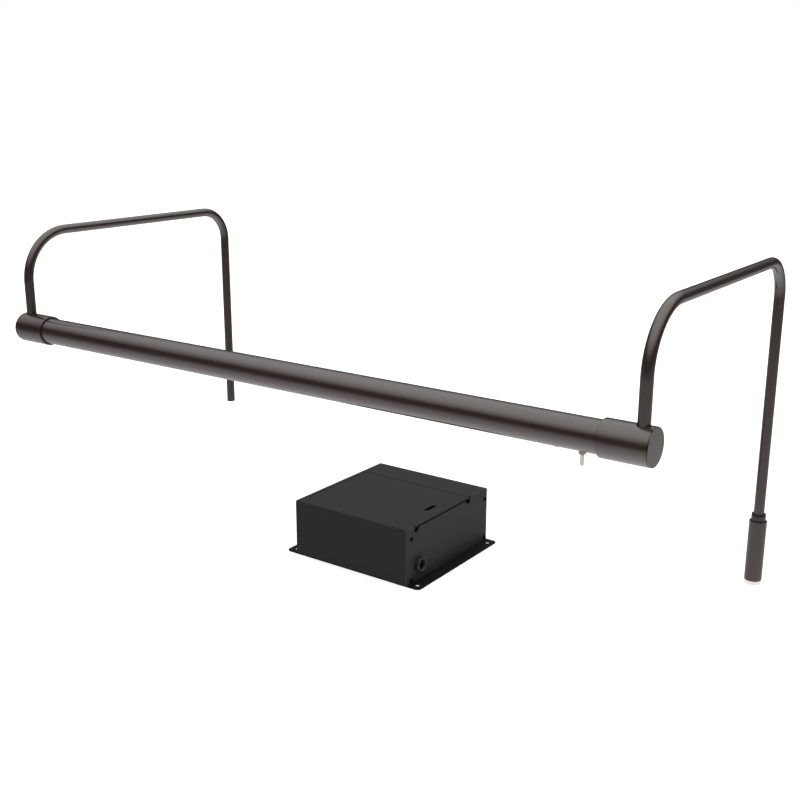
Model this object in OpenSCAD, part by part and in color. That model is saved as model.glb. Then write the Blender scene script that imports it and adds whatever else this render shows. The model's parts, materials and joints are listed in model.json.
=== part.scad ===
// Picture light: a light tube held by two bent arms, and the battery box that feeds it.
// +X runs along the light tube to the right, +Y back to the wall and +Z up.
// The origin lies midway between the two rear legs, level with the left leg's lower end.

/* [Arms] */
// Distance between the centre lines of the two arms
arm_spacing = 900; // [800:10:1200]
// Distance from the light tube's axis back to the rear legs
reach = 380; // [320:5:450]
// Height of the arms' level run above the light tube's axis
rise = 129; // [115:1:160]
// Height of the arms' level run above the left leg's lower end
leg_drop = 320; // [280:5:400]
// Centre line radius of the front bends
front_bend = 65.5; // [50:0.5:80]
// Centre line radius of the rear bends
rear_bend = 45.5; // [35:0.5:60]
// Outside diameter of the arm tube
arm_d = 12.7; // [11.5:0.1:13]
// Wall of the arm tube
arm_wall = 1.5; // [1:0.1:1.8]

/* [Light tube] */
// Outside diameter of the light tube
tube_d = 34.4; // [33.4:0.1:34.8]
// Wall of the light tube
tube_wall = 1.5; // [1.2:0.1:1.8]
// Width of the light slot under the tube
slot_w = 11.2; // [10.6:0.1:12]
// Bare tube between each end of the light slot and its sleeve
slot_margin = 52.5; // [46:0.5:80]
// Distance from the right sleeve's inner end to the switch
switch_margin = 21; // [18:0.5:24]
// Length of the switch lever outside its bushing
lever_length = 12.2; // [8:0.1:16]

/* [End sleeves] */
// Outside diameter of the end sleeves
sleeve_d = 39.5; // [39:0.1:42]
// Distance from an arm's centre line out to the end of its sleeve
arm_inset = 13; // [12.5:0.5:16]
// Overall length of a sleeve with its end disc
sleeve_length = 53; // [52:0.5:60]

/* [Connector] */
// Diameter of the collar around the right leg's lower end, at its top
collar_d = 17.2; // [15.6:0.1:19]
// Length of the collar
collar_length = 8.8; // [7:0.1:12]
// Diameter of the barrel
barrel_d = 21.4; // [20.6:0.1:24]
// Length of the barrel
barrel_length = 79.3; // [60:0.1:90]
// Length of the white insert that shows under the barrel
insert_length = 5.2; // [4:0.1:10]

/* [Battery box] */
// How far the box's middle lies to the right of the light tube's middle
box_right = 14; // [-60:1:60]
// Distance from the rear legs forward to the box's middle
box_front = 173; // [140:1:240]
// How far the box's base lies below the left leg's lower end
box_drop = 91; // [60:1:130]
// Length of the box body, without its flanges
box_length = 180; // [180:1:240]
// Depth of the box body from front to back
box_depth = 190; // [190:1:240]
// Height of the box
box_height = 76; // [74:1:100]
// How far each flange stands out from the body
flange = 18; // [16:1:30]
// Diameter of the four fixing holes
fixing_d = 5.5; // [4:0.1:6]
// Distance between the fixing holes from front to back
fixing_pitch = 168; // [150:1:176]
// Thickness of the sheet metal
sheet = 1.5; // [1.2:0.1:1.6]
// Width of the lid opening
lid_opening = 126; // [122:1:130]
// Distance of the lid's centre line in front of the box's middle
lid_offset = 13; // [10:1:14]
// Length of the lid's finger slot
finger_slot = 22; // [15:1:30]

/* [Hidden] */
$fn = 64;

bronze = [0.20, 0.17, 0.15];
black = [0.12, 0.12, 0.12];
over = 1;                 // how far a cutting shape runs past the face that it cuts
wall_gap = 0.3;           // clearance between faces that move past each other
running_gap = 0.06;       // radial clearance of a running fit
close_gap = 0.05;         // radial clearance of parts that are fixed together
thread_gap = 0.03;        // radial clearance of a tapped hole
press_gap = 0.01;         // radial clearance of a pressed-in pin

// Arms
arm_r = arm_d / 2;
arm_hole = arm_r - arm_wall;
tube_z = leg_drop - rise;
arm_x = arm_spacing / 2;
arm_foot = 6;             // height of an arm's front end above the light tube's axis

// Light tube and sleeves
tube_r = tube_d / 2;
tube_in = tube_r - tube_wall;
sleeve_r = sleeve_d / 2;
disc_t = 1.4;
disc_edge = 0.4;
disc_r = sleeve_r - 0.2;
disc_groove = [0.8, 0.6]; // depth and width of the groove between a sleeve and its disc
sleeve_edge = 0.8;
spigot_r = sleeve_r - 5;
spigot_depth = 3;
sleeve_end = arm_x + arm_inset;
sleeve_start = sleeve_end - sleeve_length;
socket_depth = 18;
socket_floor = sleeve_start + socket_depth;
arm_bore_depth = 4;       // how far the arm's bore runs on below the axis
counterbore = 1.4;
counterbore_r = arm_r + 0.8;
set_screw_z = arm_foot + 5;
set_screw_r = 2;
set_screw_length = 7.5;
hex_across = 2.3;         // across the corners
hex_depth = 2.5;
ring_at = 6;
ring_t = 2.4;
ring_r = tube_r + 1.3;
washer_t = 3.7;
tube_end = socket_floor - washer_t - wall_gap;
plug_t = 6;
plug_start = tube_end - plug_t;
nipple_r = 4.97;
nipple_hole = 3;
nipple_grip = 10;         // length of the hollow pin that is held in the sleeve
nipple_end = socket_floor + nipple_grip;
nut_t = 3.7;
nipple_start = plug_start - wall_gap - nut_t - 1.5;
nut_across = 16;          // across the corners
slot_end = sleeve_start - slot_margin;

// Light source, seen along the tube with its axis at 0, 0
carrier_end = slot_end - 9;
carrier_w = 17.2;
channel_w = 14.2;
web_low = -4;             // the flat web that reaches across the housing
web_t = 2;
board_w = 10;
board_top = -7;
board_t = 1;
board_end = carrier_end + 4;
led_pitch = 20;
led_count = floor(2 * (carrier_end - 6) / led_pitch);
led_size = [3.5, 2.8, 0.7];
lens_flange = 14;
lens_floor = 2.95 - tube_in;  // top of the lens's flange
lens_gap = 0.1;
clip_x = slot_end + 4;
clip_w = 10;
lens_screw_head = [2, 1.3];   // radius and height
lens_screw_r = 1.22;
lens_screw_length = 3.6;

// Switch
switch_x = sleeve_start - switch_margin;
switch_bottom = -(tube_in - 0.65);
switch_size = [13, 8, 9.5];
terminal_pitch = 4.5;
terminal_size = [0.8, 2, 3];
bushing_r = 2.5;
bushing_hole = 2;
bushing_bottom = -(tube_r + 3.4);
pivot_z = bushing_bottom + 1.3;
pivot_r = 0.45;
pivot_length = 4.9;
dress_nut_r = 3.7;        // to the corners
dress_nut_edge = 0.5;
ball_r = 1.9;
neck_r = 1.35;
stem_r = 0.8;
stem_length = 2.6;
lever_r = 2;
lever_taper = 0.1;

// Wires
lead_r = 2;
lead_bend = 6;
wire_r = 1.2;
wire_bend = 3.75;
wire_drop = board_end + 12;   // where the wires turn down to the board

// Connector under the right leg
collar_r = collar_d / 2;
collar_top = 2.3;
collar_bottom = collar_top - collar_length;
collar_foot_r = collar_r + 0.3;
barrel_bottom = collar_bottom - barrel_length;
barrel_r = barrel_d / 2;
barrel_wall = 1.6;
barrel_edge = 0.8;
barrel_foot = 0.4;
collar_edge = 0.4;
collar_lip = 0.8;         // height of the lip above the upper groove
collar_groove = [0.9, 1.3];   // depth and height
leg_in_barrel = 6;
insert_r = barrel_r - barrel_wall - close_gap;
insert_depth = 14;
insert_edge = 0.6;
insert_low = barrel_bottom - insert_length;
insert_out_r = barrel_r - 0.5;
jack_r = 2.8;
jack_depth = 5;           // how far the socket runs on past the barrel's foot
jack_pin_r = 1.05;
jack_pin_in = 2;

// Box, seen from the middle of its base
box_at = [box_right, -box_front, -box_drop];
body_x = box_length / 2;
body_y = box_depth / 2;
panel_t = 2;
inner_x = body_x - panel_t;
inner_y = body_y - sheet;
fixing_x = body_x + flange / 2;
flange_corner = 6;
edge_r = 2;
lid_t = 1.2;
lid_z = box_height - sheet - wall_gap - lid_t;
lid_wing = 2.7;           // how far the lid reaches under each edge of its opening
lid_rise = 1.6;           // how far the lid's middle is raised, to lie level with the top
lid_y = -lid_offset;
lid_w = lid_opening + 2 * lid_wing;
lid_back = inner_x - 2;
opening_back = inner_x - 4;
panel_gap = 0.5;          // seam around the lid's raised middle
panel_w = lid_opening - 2 * panel_gap;
panel_back = opening_back - panel_gap;
slot_at = body_x - 20.7;
finger_w = 6;
rail_t = 1.2;
rail_gap = 0.4;
rail_end = inner_x - 8;
mouth_z = lid_z - wall_gap;
mouth_w = lid_w + 2 * wall_gap;
mouth_notch = 11;
screw_y = [10 - body_y, body_y - 6];
screw_z = [6, box_height - 15];
screw_head = [3.2, 2.6];  // radius and height
screw_r = 1.45;
screw_length = 7;
screw_hole = 1.6;
tapped_hole = 1.5;
rivet_x = 66;
rivet_y = body_y - 7;
rivet_r = 1.58;
rivet_head = [2.8, 1];    // radius and height
cord_y = 25.5 - body_y;
cord_z = 23.5;
cord_hole = 6.25;
cord_thread_r = 7.95;
cord_rim_r = 9.5;
cord_rim_t = 7;
cord_thread_length = 10;
cord_nut_across = 24;
cord_nut_t = 4;
tab_w = 13;
foot_gap = 4 * sheet;     // room at each end of the shell's foot

// Battery and electronics
battery = [151, 94, 65];
pad_t = 2;
pad_w = 16;
pad_inset = 5;
pad_y = [10, 70];
battery_x = -inner_x + 2;
battery_y = -46;
battery_z = sheet + pad_t;
cover_t = 10;
cover_step = 1;
terminal_x = [15, 138];
terminal_z = 14;
blade = [6.3, 6, 0.8];
partition_y = 50;
partition_t = 1.2;
partition_foot = 5;
driver_y = 73;
driver_z = 9.5;
driver_size = [120, 34, 1.6];
standoff_x = driver_size[0] / 2 - 5;
standoff_y = driver_size[1] / 2 - 4;
standoff_r = 2.8;
block_x = 46;
block_size = [12, 22, 10];
clamp_pitch = 5.3;
clamp_count = 4;
clamp_first = 3;          // distance of the first clamp from the block's end
clamp_hole_r = 1.4;
clamp_screw_r = 1.8;
choke_x = -36;
choke_hole = 6;
choke_ring = [6, 12];     // width and height
core_r = 1.25;
core_bend = 4;
lead_lane = [73, 78];     // where the two battery leads run back past the battery's end

// A round bar from one point on the X axis to another
module bar_x(from, to, r) {
    translate([from, 0, 0])
        rotate([0, 90, 0])
            cylinder(h = to - from, r = r);
}

// A ring along X
module ring_x(from, to, r, hole) {
    translate([from, 0, 0])
        rotate([0, 90, 0])
            linear_extrude(to - from)
                ring(r, hole);
}

// A flat ring, or a disc where the hole is 0
module ring(r, hole) {
    difference() {
        circle(r);
        if (hole > 0)
            circle(hole);
    }
}

// A quarter turn of tube in the XY plane, from the angle start to start + 90
module quarter(bend, r, hole, start) {
    rotate([0, 0, start])
        rotate_extrude(angle = 90)
            translate([bend, 0])
                ring(r, hole);
}

// Moves what is drawn around 0, 0 to the light tube's axis
module at_tube() {
    translate([0, -reach, tube_z])
        children();
}

// Draws its children at the right end and mirrored at the left end
module both_ends() {
    children();
    mirror([1, 0, 0])
        children();
}

// Moves what is drawn around the middle of the box's base to its place
module at_box() {
    translate(box_at)
        children();
}

// The swept line of an arm: front leg, bend, level run, bend and rear leg
module arm_sweep(r, hole, front_low, rear_low) {
    translate([0, -reach, front_low])
        linear_extrude(leg_drop - front_bend - front_low)
            ring(r, hole);
    translate([0, front_bend - reach, leg_drop - front_bend])
        mirror([0, 1, 0])
            rotate([90, 0, 90])
                quarter(front_bend, r, hole, 0);
    translate([0, -rear_bend, leg_drop])
        rotate([90, 0, 0])
            linear_extrude(reach - front_bend - rear_bend)
                ring(r, hole);
    translate([0, -rear_bend, leg_drop - rear_bend])
        rotate([90, 0, 90])
            quarter(rear_bend, r, hole, 0);
    translate([0, 0, rear_low])
        linear_extrude(leg_drop - rear_bend - rear_low)
            ring(r, hole);
}

module left_arm() {
    color(bronze)
        translate([-arm_x, 0, 0])
            arm_sweep(arm_r, arm_hole, tube_z + arm_foot, 0);
}

// The right leg runs on through the collar into the barrel
module right_arm() {
    color(bronze)
        translate([arm_x, 0, 0])
            arm_sweep(arm_r, arm_hole, tube_z + arm_foot, collar_bottom - leg_in_barrel);
}

// A turned sleeve: a socket for the light tube, a bore for the arm and a way through for the lead
module end_sleeve() {
    color(bronze)
        at_tube()
            difference() {
                union() {
                    bar_x(sleeve_start + sleeve_edge, sleeve_end - disc_t, sleeve_r);
                    translate([sleeve_start, 0, 0])
                        rotate([0, 90, 0])
                            cylinder(h = sleeve_edge, r1 = sleeve_r - sleeve_edge, r2 = sleeve_r);
                }
                bar_x(sleeve_start - over, socket_floor, tube_r + running_gap);
                bar_x(sleeve_start + ring_at, sleeve_start + ring_at + ring_t + 2 * close_gap,
                      ring_r + close_gap);
                bar_x(socket_floor - over, nipple_end, nipple_r + thread_gap);
                bar_x(socket_floor - over, arm_x, nipple_hole + 0.5);
                bar_x(sleeve_end - disc_t - spigot_depth, sleeve_end, spigot_r);
                translate([arm_x, 0, -arm_bore_depth])
                    cylinder(h = sleeve_r + arm_bore_depth + over, r = arm_r + close_gap);
                translate([arm_x, 0, sleeve_r - counterbore])
                    cylinder(h = counterbore + over, r = counterbore_r);
                translate([arm_x, 0, set_screw_z])
                    rotate([-90, 0, 0])
                        cylinder(h = sleeve_r + over, r = set_screw_r);
            }
}

module left_end_sleeve() {
    mirror([1, 0, 0])
        end_sleeve();
}

module right_end_sleeve() {
    end_sleeve();
}

// A disc that closes the sleeve's outer end, with a spigot that centres it
module end_disc() {
    color(bronze)
        at_tube() {
            bar_x(sleeve_end - disc_t - spigot_depth + 0.2, sleeve_end - disc_t, spigot_r - close_gap);
            bar_x(sleeve_end - disc_t, sleeve_end - disc_edge, disc_r - disc_groove[0]);
            bar_x(sleeve_end - disc_t + disc_groove[1], sleeve_end - disc_edge, disc_r);
            translate([sleeve_end - disc_edge, 0, 0])
                rotate([0, 90, 0])
                    cylinder(h = disc_edge, r1 = disc_r, r2 = disc_r - disc_edge);
        }
}

module left_end_disc() {
    mirror([1, 0, 0])
        end_disc();
}

module right_end_disc() {
    end_disc();
}

// Headless screws with a hex socket that pinch each arm in its sleeve from behind
module arm_set_screws() {
    color(black)
        both_ends()
            at_tube()
                translate([arm_x, arm_r + close_gap, set_screw_z])
                    rotate([-90, 0, 0])
                        difference() {
                            cylinder(h = set_screw_length, r = set_screw_r - thread_gap);
                            translate([0, 0, set_screw_length - hex_depth])
                                cylinder(h = hex_depth + over, d = hex_across, $fn = 6);
                        }
}

// Hollow threaded pins, fixed in the sleeves, on which the light tube turns
module swivel_nipples() {
    color("goldenrod")
        both_ends()
            at_tube()
                ring_x(nipple_start, nipple_end, nipple_r, nipple_hole);
}

module nipple_nuts() {
    color("goldenrod")
        both_ends()
            at_tube()
                translate([plug_start - wall_gap - nut_t, 0, 0])
                    rotate([0, 90, 0])
                        difference() {
                            cylinder(h = nut_t, d = nut_across, $fn = 6);
                            translate([0, 0, -over])
                                cylinder(h = nut_t + 2 * over, r = nipple_r + thread_gap);
                        }
}

// Nylon washers between the light tube's ends and the floors of the sleeves
module friction_washers() {
    color("ivory")
        both_ends()
            at_tube()
                ring_x(tube_end + wall_gap, socket_floor, tube_in - 1, nipple_r + 0.1);
}

// Nylon rings in the sleeves' grooves that grip the light tube
module friction_rings() {
    color("ivory")
        both_ends()
            at_tube()
                ring_x(sleeve_start + ring_at + close_gap, sleeve_start + ring_at + close_gap + ring_t,
                       ring_r, tube_r + thread_gap);
}

// Moves what is drawn around the right leg's axis to its place
module at_leg() {
    translate([arm_x, 0, 0])
        children();
}

// A collar on the leg that widens towards its foot, with a groove under its lip and one at its foot
module connector_collar() {
    deep = collar_groove[0];
    lip_z = collar_top - collar_lip;
    waist_z = lip_z - collar_groove[1];
    foot_z = collar_bottom + collar_groove[1];
    color(bronze)
        at_leg()
            rotate_extrude()
                polygon([
                    [arm_r + thread_gap, collar_top], [collar_r - collar_edge, collar_top],
                    [collar_r, collar_top - collar_edge], [collar_r, lip_z], [collar_r - deep, lip_z],
                    [collar_r - deep, waist_z], [collar_r, waist_z], [collar_foot_r, foot_z],
                    [collar_foot_r - deep, foot_z], [collar_foot_r - deep, collar_bottom],
                    [arm_r + thread_gap, collar_bottom]
                ]);
}

// A hollow barrel: the leg enters at its top and the insert at its foot
module connector_barrel() {
    color(bronze)
        at_leg()
            rotate_extrude()
                polygon([
                    [arm_r + thread_gap, collar_bottom], [barrel_r - barrel_edge, collar_bottom],
                    [barrel_r, collar_bottom - barrel_edge], [barrel_r, barrel_bottom + barrel_foot],
                    [barrel_r - barrel_foot, barrel_bottom], [barrel_r - barrel_wall, barrel_bottom],
                    [barrel_r - barrel_wall, collar_bottom - leg_in_barrel],
                    [arm_r + thread_gap, collar_bottom - leg_in_barrel]
                ]);
}

// A white insulating insert with a socket for a round power plug
module connector_insert() {
    color("white")
        at_leg()
            difference() {
                rotate_extrude()
                    polygon([
                        [0, barrel_bottom + insert_depth], [insert_r, barrel_bottom + insert_depth],
                        [insert_r, barrel_bottom], [insert_out_r, barrel_bottom],
                        [insert_out_r, insert_low + insert_edge],
                        [insert_out_r - insert_edge, insert_low], [0, insert_low]
                    ]);
                translate([0, 0, insert_low - over])
                    cylinder(h = insert_length + jack_depth + over, r = jack_r);
            }
}

module connector_pin() {
    color("gold")
        at_leg()
            translate([0, 0, insert_low + jack_pin_in]) {
                cylinder(h = insert_length + jack_depth - jack_pin_in, r = jack_pin_r);
                sphere(r = jack_pin_r);
            }
}

// The two-core lead inside the right arm, from the connector to the light tube
module arm_lead() {
    color(black) {
        at_leg()
            arm_sweep(lead_r, 0, tube_z + lead_bend, barrel_bottom + insert_depth);
        at_tube()
            translate([arm_x - lead_bend, 0, lead_bend])
                rotate([-90, 0, 0])
                    quarter(lead_bend, lead_r, 0, 0);
        at_tube()
            bar_x(nipple_start, arm_x - lead_bend, lead_r);
    }
}

// The light housing: a round tube with a long slot underneath
module tube_housing() {
    color(bronze)
        at_tube()
            difference() {
                ring_x(-tube_end, tube_end, tube_r, tube_in);
                translate([-slot_end, -slot_w / 2, -tube_r - over])
                    cube([2 * slot_end, slot_w, tube_r]);
                translate([switch_x, 0, -tube_r - over])
                    cylinder(h = tube_r, r = bushing_r + close_gap);
                translate([clip_x, 0, -tube_r - over])
                    cylinder(h = tube_r, r = lens_screw_r + close_gap);
            }
}

module tube_plug() {
    color(black)
        at_tube()
            ring_x(plug_start, tube_end, tube_in - close_gap, nipple_r + running_gap);
}

module left_tube_plug() {
    mirror([1, 0, 0])
        tube_plug();
}

module right_tube_plug() {
    tube_plug();
}

// Draws a profile of the tube's cross-section along the tube
module along_tube(half_length) {
    at_tube()
        translate([-half_length, 0, 0])
            rotate([90, 0, 90])
                linear_extrude(2 * half_length)
                    children();
}

// An aluminium channel that carries the board and takes its heat to the housing
module led_carrier() {
    color("silver")
        along_tube(carrier_end)
            difference() {
                union() {
                    intersection() {
                        circle(tube_in - lens_gap);
                        translate([-tube_in, web_low])
                            square([2 * tube_in, web_t]);
                    }
                    translate([-carrier_w / 2, lens_floor + lens_gap])
                        square([carrier_w, web_low - lens_floor + web_t / 2]);
                }
                translate([-channel_w / 2, lens_floor])
                    square([channel_w, board_top - lens_floor]);
            }
}

module led_board() {
    color("white")
        at_tube()
            translate([-carrier_end, -board_w / 2, board_top - board_t])
                cube([carrier_end + board_end, board_w, board_t]);
}

module led_chips() {
    color("khaki")
        at_tube()
            for (i = [0 : led_count - 1])
                translate([(i - (led_count - 1) / 2) * led_pitch - led_size[0] / 2, -led_size[1] / 2,
                           board_top - board_t - led_size[2]])
                    cube(led_size);
}

// An opal strip that fills the slot flush with the housing, with a flange inside
module diffuser_lens() {
    color("white")
        along_tube(slot_end - lens_gap) {
            intersection() {
                circle(tube_r - close_gap);
                translate([lens_gap - slot_w / 2, -tube_r])
                    square([slot_w - 2 * lens_gap, tube_r + lens_floor]);
            }
            intersection() {
                circle(tube_in - lens_gap);
                translate([-lens_flange / 2, -tube_r])
                    square([lens_flange, tube_r + lens_floor]);
            }
        }
}

// A block inside the housing that stops the lens at the right end of its slot
module lens_clip() {
    color("ivory")
        at_tube()
            difference() {
                intersection() {
                    bar_x(slot_end + wall_gap, clip_x + clip_w / 2, tube_in - lens_gap);
                    translate([slot_end, -clip_w / 2, -tube_in])
                        cube([clip_w, clip_w, tube_in + lens_floor]);
                }
                translate([clip_x, 0, -tube_in])
                    cylinder(h = tube_in, r = lens_screw_r + thread_gap);
            }
}

// A pan-head screw with a cross recess; its head rests on the XY plane and points up
module pan_screw(head, shank_r, shank_length) {
    head_r = head[0];
    head_h = head[1];
    rim = 0.55 * head_h;
    crown_r = 0.62 * head_r;
    cross = [1.1 * head_r, 0.22 * head_r, head_h];
    difference() {
        union() {
            cylinder(h = rim, r = head_r);
            translate([0, 0, rim])
                cylinder(h = head_h - rim, r1 = head_r, r2 = crown_r);
            translate([0, 0, -shank_length])
                cylinder(h = shank_length, r = shank_r);
        }
        for (turn = [0, 90])
            rotate([0, 0, turn])
                translate([-cross[0] / 2, -cross[1] / 2, head_h / 2])
                    cube(cross);
    }
}

module lens_screw() {
    color(bronze)
        at_tube()
            translate([clip_x, 0, -tube_r])
                rotate([180, 0, 0])
                    pan_screw(lens_screw_head, lens_screw_r, lens_screw_length);
}

// The wires from the swivel over the switch and down to the end of the board
module tube_wiring() {
    color(black)
        at_tube() {
            bar_x(wire_drop, nipple_start - wall_gap, wire_r);
            translate([wire_drop, 0, -wire_bend])
                rotate([90, 0, 0])
                    quarter(wire_bend, wire_r, 0, 90);
            translate([wire_drop - 2 * wire_bend, 0, -wire_bend])
                rotate([90, 0, 0])
                    quarter(wire_bend, wire_r, 0, -90);
            translate([0, 0, -2 * wire_bend])
                bar_x(board_end, wire_drop - 2 * wire_bend, wire_r);
        }
}

module switch_body() {
    color("royalblue")
        at_tube()
            translate([switch_x, 0, switch_bottom])
                difference() {
                    translate([-switch_size[0] / 2, -switch_size[1] / 2, 0])
                        cube(switch_size);
                    translate([0, 0, -over])
                        cylinder(h = 2 + over, r = bushing_hole);
                }
}

module switch_terminals() {
    color("silver")
        at_tube()
            for (i = [-1 : 1])
                translate([switch_x + terminal_pitch * i - terminal_size[0] / 2, -terminal_size[1] / 2,
                           switch_bottom + switch_size[2]])
                    cube(terminal_size);
}

// A threaded bushing, drilled across for the lever's pivot pin
module switch_bushing() {
    color(bronze)
        at_tube()
            difference() {
                translate([switch_x, 0, bushing_bottom])
                    linear_extrude(switch_bottom - bushing_bottom)
                        ring(bushing_r, bushing_hole);
                across_switch(2 * bushing_r + 2 * over, pivot_r + press_gap);
            }
}

// A round bar across the switch, on the lever's axis
module across_switch(length, r) {
    translate([switch_x, length / 2, pivot_z])
        rotate([90, 0, 0])
            cylinder(h = length, r = r);
}

module switch_pivot() {
    color("silver")
        at_tube()
            across_switch(pivot_length, pivot_r);
}

// A hexagon nut whose lower corners are turned off
module switch_nut() {
    nut_low = bushing_bottom + 0.2;
    nut_h = -tube_r - close_gap - nut_low;
    color(bronze)
        at_tube()
            translate([switch_x, 0, nut_low])
                difference() {
                    intersection() {
                        rotate([0, 0, 30])
                            cylinder(h = nut_h, r = dress_nut_r, $fn = 6);
                        cylinder(h = nut_h, r1 = dress_nut_r - dress_nut_edge,
                                 r2 = dress_nut_r + nut_h - dress_nut_edge);
                    }
                    translate([0, 0, -over])
                        cylinder(h = nut_h + 2 * over, r = bushing_r + thread_gap);
                }
}

// The lever with its drilled pivot ball, its stem inside the bushing and a rounded tip
module switch_lever() {
    tip_z = bushing_bottom - lever_length + lever_r;
    color("linen")
        at_tube()
            difference() {
                translate([switch_x, 0, 0]) {
                    translate([0, 0, pivot_z])
                        sphere(r = ball_r);
                    translate([0, 0, pivot_z])
                        cylinder(h = stem_length, r = stem_r);
                    translate([0, 0, bushing_bottom - 2])
                        cylinder(h = 3, r = neck_r);
                    translate([0, 0, tip_z])
                        cylinder(h = lever_length - lever_r - 0.8, r1 = lever_r, r2 = lever_r - lever_taper);
                    translate([0, 0, tip_z])
                        sphere(r = lever_r);
                }
                across_switch(2 * ball_r + 2 * over, pivot_r + close_gap);
            }
}

// A rectangle of the given size around 0, 0 with round corners
module round_rectangle(size, r) {
    square([size[0] - 2 * r, size[1]], center = true);
    square([size[0], size[1] - 2 * r], center = true);
    for (x = [-1, 1], y = [-1, 1])
        translate([x * (size[0] / 2 - r), y * (size[1] / 2 - r)])
            circle(r);
}

// The box's end outline, seen along X: square at the base, round at the two top edges
module end_outline(inset) {
    r = edge_r - inset / 2;
    translate([inset - body_y, sheet])
        square([box_depth - 2 * inset, box_height - sheet - inset - r]);
    translate([inset + r - body_y, sheet])
        square([box_depth - 2 * inset - 2 * r, box_height - sheet - inset]);
    for (side = [-1, 1])
        translate([side * (body_y - inset - r), box_height - inset - r])
            circle(r);
}

// Draws a YZ outline along X inside the box's frame
module along_box(from, to) {
    translate([from, 0, 0])
        rotate([90, 0, 90])
            linear_extrude(to - from)
                children();
}

// The plate that the box stands on, with a holed flange at each end
module base_plate() {
    color(black)
        at_box()
            linear_extrude(sheet)
                difference() {
                    round_rectangle([box_length + 2 * flange, box_depth], flange_corner);
                    for (x = [-1, 1], y = [-1, 1])
                        translate([x * fixing_x, y * fixing_pitch / 2])
                            circle(fixing_d / 2);
                    for (x = [-1, 1], y = [-1, 1])
                        translate([x * rivet_x, y * rivet_y])
                            circle(screw_hole);
                }
}

// Front wall, top and rear wall bent from one sheet, open under the lid and at both ends
module case_shell() {
    color(black)
        at_box() {
            difference() {
                along_box(-inner_x, inner_x)
                    difference() {
                        end_outline(0);
                        end_outline(sheet);
                        translate([-inner_y, 0])
                            square([2 * inner_y, sheet + 5]);
                    }
                translate([-opening_back, lid_y - lid_opening / 2, box_height - sheet - over])
                    cube([box_length, lid_opening, sheet + 2 * over]);
            }
            for (side = [-1, 1])
                shell_tabs(side);
        }
}

// The tabs that the end panels screw to, and the foot that is riveted to the base plate
module shell_tabs(side) {
    for (end = [-1, 1])
        difference() {
            translate([end > 0 ? inner_x - sheet : -inner_x,
                       side > 0 ? inner_y - tab_w : -inner_y, sheet])
                cube([sheet, tab_w, box_height - 2 * sheet - edge_r]);
            for (y = screw_y, z = screw_z)
                translate([-body_x * 2, y, z])
                    rotate([0, 90, 0])
                        cylinder(h = 4 * body_x, r = tapped_hole);
        }
    difference() {
        translate([foot_gap - inner_x, side > 0 ? inner_y - tab_w : -inner_y, sheet])
            cube([2 * inner_x - 2 * foot_gap, tab_w, sheet]);
        for (x = [-1, 1])
            translate([x * rivet_x, side * rivet_y, 0])
                cylinder(h = 3 * sheet, r = screw_hole);
    }
}

module end_panel() {
    along_box(inner_x, body_x)
        difference() {
            end_outline(0);
            for (y = screw_y, z = screw_z)
                translate([y, z])
                    circle(screw_hole);
        }
}

module left_end_panel() {
    color(black)
        at_box()
            mirror([1, 0, 0])
                end_panel();
}

// The right panel is cut down for the lid, with a round notch at each end of the cut
module right_end_panel() {
    color(black)
        at_box()
            difference() {
                end_panel();
                along_box(inner_x - over, body_x + over) {
                    translate([lid_y - mouth_w / 2, mouth_z])
                        square([mouth_w, box_height]);
                    for (side = [-1, 1])
                        translate([lid_y + side * (mouth_w - mouth_notch) / 2, mouth_z])
                            circle(d = mouth_notch);
                    translate([cord_y, cord_z])
                        circle(cord_thread_r + close_gap);
                }
            }
}

module panel_screws() {
    color(black)
        at_box()
            for (end = [-1, 1], y = screw_y, z = screw_z)
                translate([end * body_x, y, z])
                    rotate([0, end * 90, 0])
                        pan_screw(screw_head, screw_r, screw_length);
}

module shell_rivets() {
    color("silver")
        at_box()
            for (x = [-1, 1], y = [-1, 1])
                translate([x * rivet_x, y * rivet_y, 0]) {
                    cylinder(h = 2 * sheet, r = rivet_r);
                    translate([0, 0, 2 * sheet])
                        cylinder(h = rivet_head[1], r1 = rivet_head[0], r2 = rivet_head[0] - rivet_head[1]);
                }
}

// Angle strips under the top's edges that the lid slides on
module lid_rails() {
    color(black)
        at_box()
            for (side = [-1, 1])
                along_box(-inner_x + sheet, rail_end)
                    translate([lid_y, 0])
                        mirror([side > 0 ? 1 : 0, 0])
                            rail_outline();
}

module rail_outline() {
    edge = -lid_w / 2 - rail_gap - rail_t;
    low = lid_z - wall_gap - rail_t;
    translate([edge, low])
        square([rail_t, box_height - sheet - low]);
    translate([edge, low])
        square([rail_t + rail_gap + lid_wing - 0.2, rail_t]);
}

// A lid that slides out to the right, with a finger slot: its middle is raised to lie level
// with the top, and its front, rear and left edges are bent down to run under the top
module lid() {
    color(black)
        at_box()
            translate([0, lid_y, lid_z])
                difference() {
                    union() {
                        translate([-lid_back, -lid_w / 2, 0])
                            cube([lid_back + body_x, lid_w, lid_t]);
                        translate([-panel_back, -panel_w / 2, 0])
                            cube([panel_back + body_x, panel_w, lid_rise + lid_t]);
                    }
                    translate([lid_t - panel_back, lid_t - panel_w / 2, -over])
                        cube([panel_back + body_x, panel_w - 2 * lid_t, lid_rise + over]);
                    translate([slot_at, 0, 0])
                        linear_extrude(lid_rise + lid_t + over)
                            round_rectangle([finger_w, finger_slot], finger_w / 2 - press_gap);
                }
}

// A round bushing for the cord, standing out of the right panel
module cable_bushing() {
    color(black)
        at_box()
            translate([0, cord_y, cord_z]) {
                ring_x(body_x, body_x + cord_rim_t, cord_rim_r, cord_hole);
                ring_x(body_x - cord_thread_length, body_x, cord_thread_r, cord_hole);
            }
}

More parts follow.
